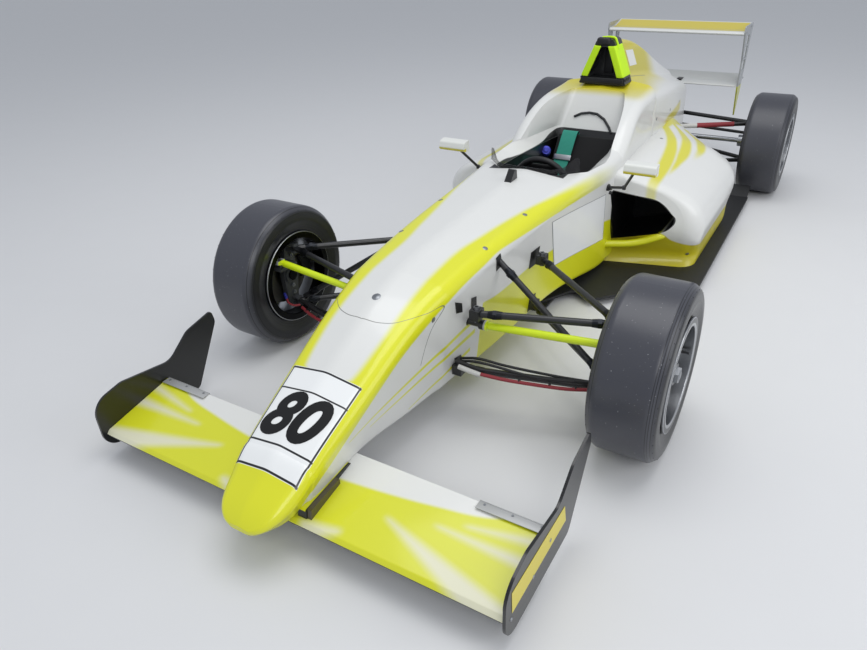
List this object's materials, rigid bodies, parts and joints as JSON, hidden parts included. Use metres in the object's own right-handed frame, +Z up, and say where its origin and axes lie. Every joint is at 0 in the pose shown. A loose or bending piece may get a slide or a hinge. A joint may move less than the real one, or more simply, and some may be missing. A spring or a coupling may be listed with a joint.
{
  "type": "open wheel racing car",
  "caption": "Single seat open wheel racing car with wings, sidepods, wishbone suspension, steered front wheels and rolling slick tyres.",
  "frame": {"origin": "on the ground under the middle of the car's bounding box", "axes": "+Y towards the tail along the car's length, so the nose points to -Y; +X to the car's left; +Z up"},
  "size_m": [1.6894, 4.362, 0.985],
  "materials": {
    "gloss_bodywork": "white gloss paint with yellow bands on moulded laminate",
    "carbon_black": "bare satin carbon laminate",
    "wing_paint": "yellow and white gloss paint on laminate",
    "black_steel": "black coated steel tube",
    "signal_yellow": "fluorescent yellow wrap on tube and pads",
    "bare_aluminium": "cast and machined aluminium",
    "rim_alloy": "painted cast alloy",
    "disc_iron": "turned iron",
    "tyre": "slick compound",
    "smoked_screen": "smoked acrylic",
    "red_lens": "red lamp lens",
    "seat_black": "moulded seat shell",
    "belt_web": "woven belt",
    "hose_rubber": "braided hose in sleeve"
  },
  "bodies": {
    "root": {"beam_wing": "gloss_bodywork", "brake_hoses": "hose_rubber", "camera_pod": "carbon_black", "dashboard": "carbon_black", "driveshafts": "black_steel", "engine": "bare_aluminium", "engine_cover": "gloss_bodywork", "exhaust": "black_steel", "floor": "carbon_black", "front_brackets": "black_steel", "front_pushrods": "black_steel", "front_wing": "wing_paint", "front_wing_brackets": "wing_paint", "front_wing_endplates": "carbon_black", "front_wishbones": "black_steel", "gearbox": "bare_aluminium", "harness": "belt_web", "mirrors": "gloss_bodywork", "nose_cone": "gloss_bodywork", "radiators": "bare_aluminium", "rain_light": "red_lens", "rear_calipers": "bare_aluminium", "rear_uprights": "bare_aluminium", "rear_wing": "wing_paint", "rear_wing_endplates": "gloss_bodywork", "rear_wishbones": "black_steel", "roll_hoop": "signal_yellow", "seat": "seat_black", "sidepod_left": "gloss_bodywork", "sidepod_right": "gloss_bodywork", "survival_cell": "gloss_bodywork", "tail_structure": "carbon_black", "windscreen": "smoked_screen"},
    "hand_wheel": {"steering_wheel": "carbon_black"},
    "rack": {"steering_rack": "signal_yellow"},
    "steer_left": {"front_upright_left": "bare_aluminium", "front_caliper_left": "bare_aluminium"},
    "wheel_front_left": {"tyre_front_left": "tyre", "rim_front_left": "rim_alloy", "disc_front_left": "disc_iron"},
    "wheel_rear_left": {"tyre_rear_left": "tyre", "rim_rear_left": "rim_alloy", "disc_rear_left": "disc_iron"},
    "steer_right": {"front_upright_right": "bare_aluminium", "front_caliper_right": "bare_aluminium"},
    "wheel_front_right": {"tyre_front_right": "tyre", "rim_front_right": "rim_alloy", "disc_front_right": "disc_iron"},
    "wheel_rear_right": {"tyre_rear_right": "tyre", "rim_rear_right": "rim_alloy", "disc_rear_right": "disc_iron"}
  },
  "joints": [
    {"name": "steering_wheel_turn", "type": "hinge", "parent": "root", "child": "hand_wheel", "pos_m": [0, -0.264, 0.48], "axis": [0, 0.9706, 0.2406], "range_deg": [-160, 160]},
    {"name": "steer_left_turn", "type": "hinge", "parent": "root", "child": "steer_left", "pos_m": [0.66, -1.169, 0.165], "axis": [-0.0607, 0.026, 0.9978], "range_deg": [-16.2, 16.2]},
    {"name": "steer_right_turn", "type": "hinge", "parent": "root", "child": "steer_right", "pos_m": [-0.66, -1.169, 0.165], "axis": [0.0607, 0.026, 0.9978], "range_deg": [-16.2, 16.2]},
    {"name": "rack_slide", "type": "slide", "parent": "root", "child": "rack", "axis": [1, 0, 0], "range_m": [-0.0242, 0.0242]},
    {"name": "wheel_front_left_roll", "type": "hinge", "parent": "steer_left", "child": "wheel_front_left", "pos_m": [0.74, -1.169, 0.278], "axis": [1, 0, 0], "continuous": true},
    {"name": "wheel_rear_left_roll", "type": "hinge", "parent": "root", "child": "wheel_rear_left", "pos_m": [0.6825, 1.581, 0.286], "axis": [1, 0, 0], "continuous": true},
    {"name": "wheel_front_right_roll", "type": "hinge", "parent": "steer_right", "child": "wheel_front_right", "pos_m": [-0.74, -1.169, 0.278], "axis": [1, 0, 0], "continuous": true},
    {"name": "wheel_rear_right_roll", "type": "hinge", "parent": "root", "child": "wheel_rear_right", "pos_m": [-0.6825, 1.581, 0.286], "axis": [1, 0, 0], "continuous": true}
  ],
  "couplings": [
    {"joint": "steer_left_turn", "follows": "steering_wheel_turn", "ratio": 0.1},
    {"joint": "steer_right_turn", "follows": "steering_wheel_turn", "ratio": 0.1},
    {"joint": "rack_slide", "follows": "steering_wheel_turn", "m_per_rad": 0.00853}
  ]
}
